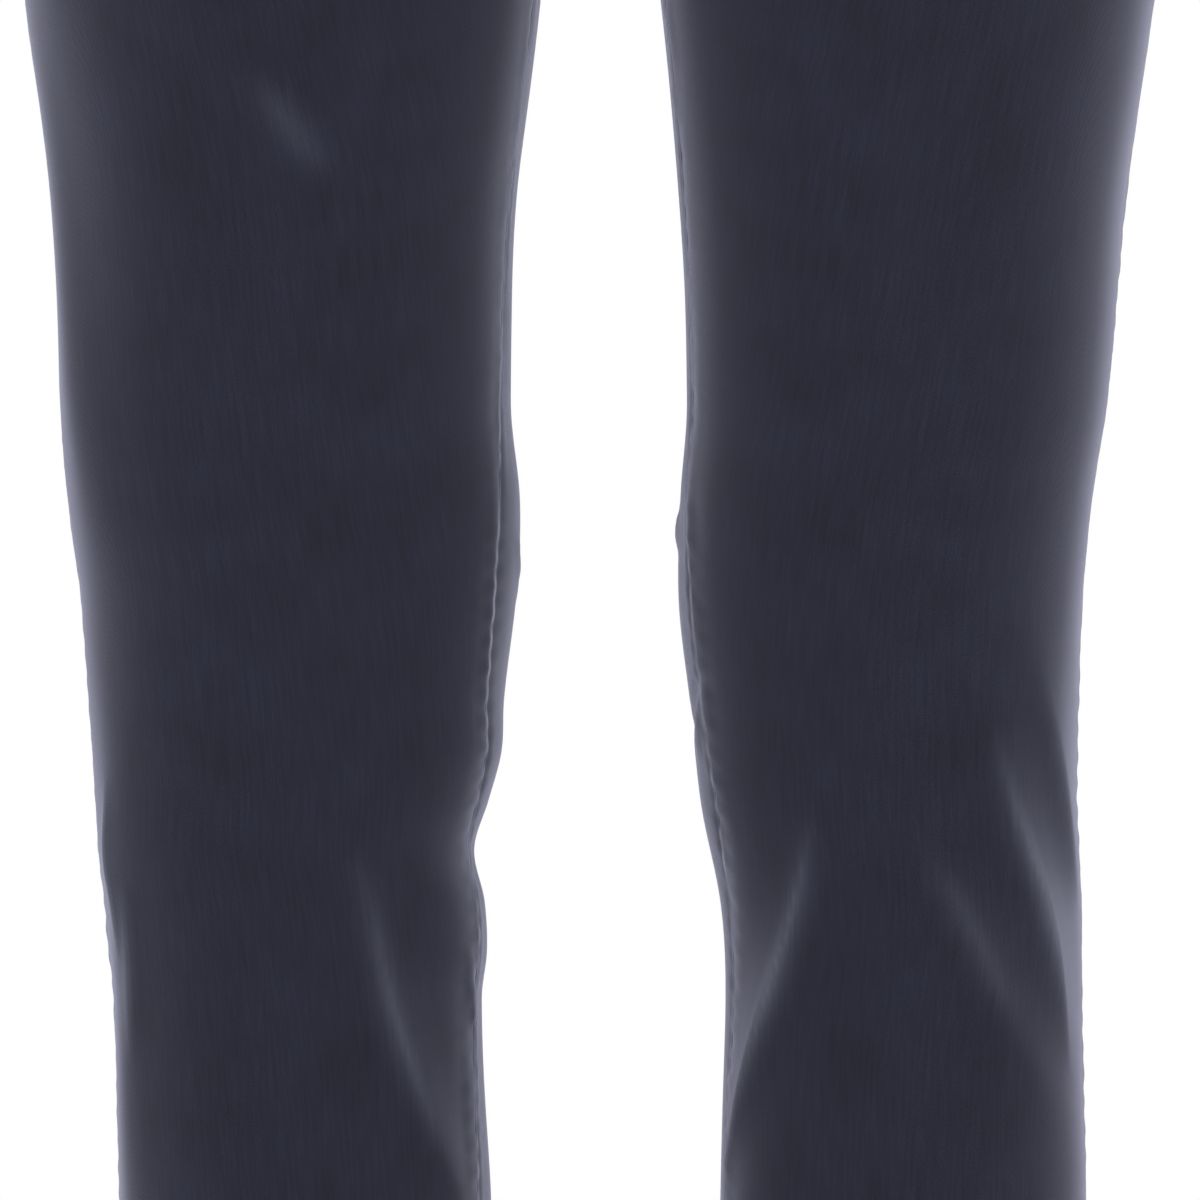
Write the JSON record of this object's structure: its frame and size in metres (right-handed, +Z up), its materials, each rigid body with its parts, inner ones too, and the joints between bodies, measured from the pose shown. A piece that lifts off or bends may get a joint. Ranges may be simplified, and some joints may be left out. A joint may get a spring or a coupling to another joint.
{
  "type": "chino trousers",
  "caption": "Plain dark cotton chino trousers, hollow and filled out as worn, held up at the waistband, with slanted front pockets, welt back pockets and a zip fly",
  "frame": {"origin": "the middle of the waistband's ring, half way up the band, where the wearer holds the trousers up", "axes": "+Z up along the legs to the waist, -Y to the front, +X to the wearer's left"},
  "size_m": [0.41, 0.2571, 1.0499],
  "materials": {
    "cloth": "plain navy cotton twill, matt, with a soft pale sheen at grazing angles",
    "button": "dark brown horn-like resin, satin",
    "zip": "dark antique brass teeth and slider on a navy woven tape"
  },
  "bodies": {
    "root": {"front_left": "cloth", "front_right": "cloth", "back_left": "cloth", "back_right": "cloth", "waistband_left": "cloth", "waistband_right": "cloth", "pocket_facing_left": "cloth", "pocket_facing_right": "cloth", "back_welt_upper_left": "cloth", "back_welt_upper_right": "cloth", "back_welt_lower_left": "cloth", "back_welt_lower_right": "cloth", "belt_loop_left_1": "cloth", "belt_loop_left_2": "cloth", "belt_loop_left_3": "cloth", "belt_loop_right_1": "cloth", "belt_loop_right_2": "cloth", "belt_loop_right_3": "cloth", "belt_loop_centre_back": "cloth", "fly_shield": "cloth", "zip": "zip", "zip_slider": "zip", "waist_button": "button", "back_button_left": "button", "back_button_right": "button"}
  },
  "joints": []
}
